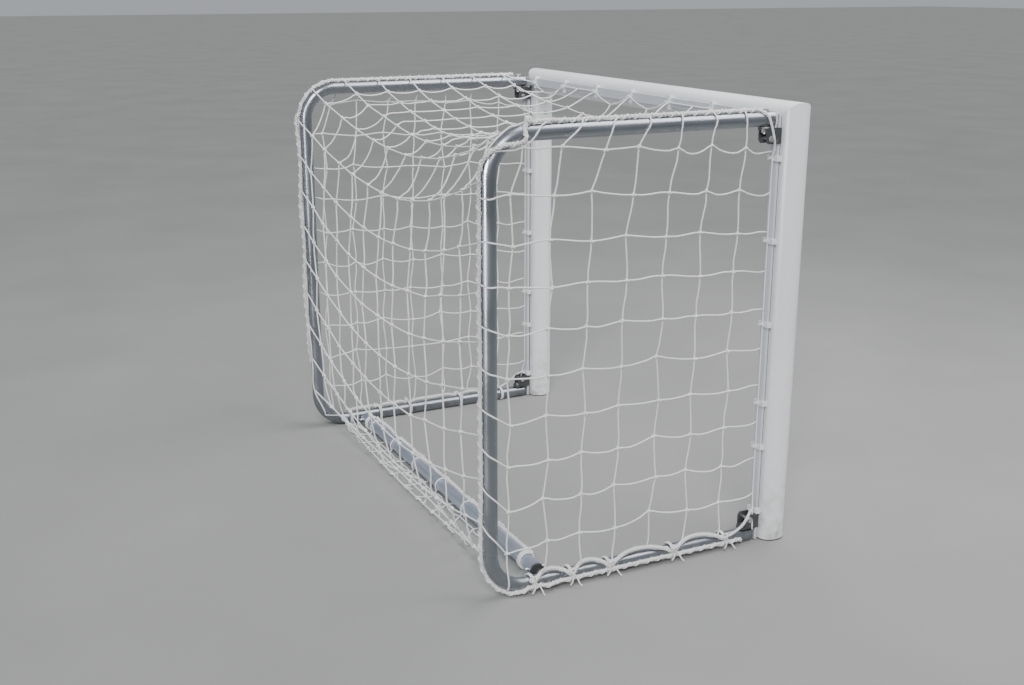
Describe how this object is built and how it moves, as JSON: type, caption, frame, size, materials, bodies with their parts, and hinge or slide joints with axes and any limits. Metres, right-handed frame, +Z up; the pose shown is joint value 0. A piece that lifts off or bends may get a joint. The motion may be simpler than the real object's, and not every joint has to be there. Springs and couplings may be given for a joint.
{
  "type": "folding soccer goal",
  "caption": "Folding training goal with an oval-profile mouth, hinged tubular side frames, a ground bar between them and a knotted net.",
  "frame": {"origin": "middle of the goal's box on the ground", "axes": "+X across the mouth, +Y from the mouth toward the back of the net, +Z up"},
  "size_m": [1.48, 0.9294, 1.2],
  "materials": {
    "white_powder_coat": "satin powder coat on an aluminium extrusion",
    "cast_aluminium": "cast",
    "mill_aluminium": "mill finish with lengthwise die lines",
    "bar_aluminium": "mill finish with lengthwise die lines",
    "galvanised_steel": "zinc plated",
    "zinc_steel": "zinc plated",
    "bracket_steel": "dark grey coat",
    "clip_plastic": "injection moulded",
    "black_plastic": "moulded",
    "nylon_washer": "plain",
    "net_twine": "knotted twine",
    "rope_white": "braided and fuzzy"
  },
  "bodies": {
    "root": {"crossbar": "white_powder_coat", "left_post": "white_powder_coat", "right_post": "white_powder_coat", "left_corner_joint": "cast_aluminium", "right_corner_joint": "cast_aluminium", "corner_screws": "zinc_steel", "left_foot_cap": "black_plastic", "right_foot_cap": "black_plastic", "crossbar_net_clips": "clip_plastic", "left_post_net_clips": "clip_plastic", "right_post_net_clips": "clip_plastic", "top_left_hinge_bracket": "bracket_steel", "bottom_left_hinge_bracket": "bracket_steel", "top_right_hinge_bracket": "bracket_steel", "bottom_right_hinge_bracket": "bracket_steel", "clamp_bolts": "zinc_steel", "clamp_nuts": "zinc_steel", "top_hinge_bolts": "zinc_steel", "bottom_hinge_bolts": "zinc_steel", "hinge_nuts": "zinc_steel", "hinge_washers": "nylon_washer", "top_net": "net_twine", "back_net": "net_twine"},
    "left_frame": {"left_side_tube": "mill_aluminium", "left_tube_plugs": "black_plastic", "left_bar_bracket": "galvanised_steel", "left_bar_bracket_bolt": "zinc_steel", "left_border_rope": "rope_white", "left_side_net": "net_twine"},
    "right_frame": {"right_side_tube": "mill_aluminium", "right_tube_plugs": "black_plastic", "right_bar_bracket": "galvanised_steel", "right_bar_bracket_bolt": "zinc_steel", "right_border_rope": "rope_white", "right_side_net": "net_twine"},
    "ground_bar": {"ground_bar": "bar_aluminium", "ground_bar_caps": "black_plastic", "ground_bar_pins": "zinc_steel"}
  },
  "joints": [
    {"name": "left_fold", "type": "hinge", "parent": "root", "child": "left_frame", "pos_m": [-0.7, -0.33765, 0], "axis": [0, 0, -1], "range_deg": [0, 90], "deforming": ["left_side_net", "top_net", "back_net"]},
    {"name": "right_fold", "type": "hinge", "parent": "root", "child": "right_frame", "pos_m": [0.7, -0.33765, 0], "axis": [0, 0, 1], "range_deg": [0, 81.5], "deforming": ["right_side_net"]},
    {"name": "bar_lift", "type": "slide", "parent": "root", "child": "ground_bar", "axis": [0, -0.5633, 0.8262], "range_m": [0, 1.26]}
  ],
  "couplings": [
    {"joint": "right_fold", "follows": "left_fold", "ratio": 0.9},
    {"joint": "bar_lift", "follows": "left_fold", "m_per_rad": 0.8}
  ]
}
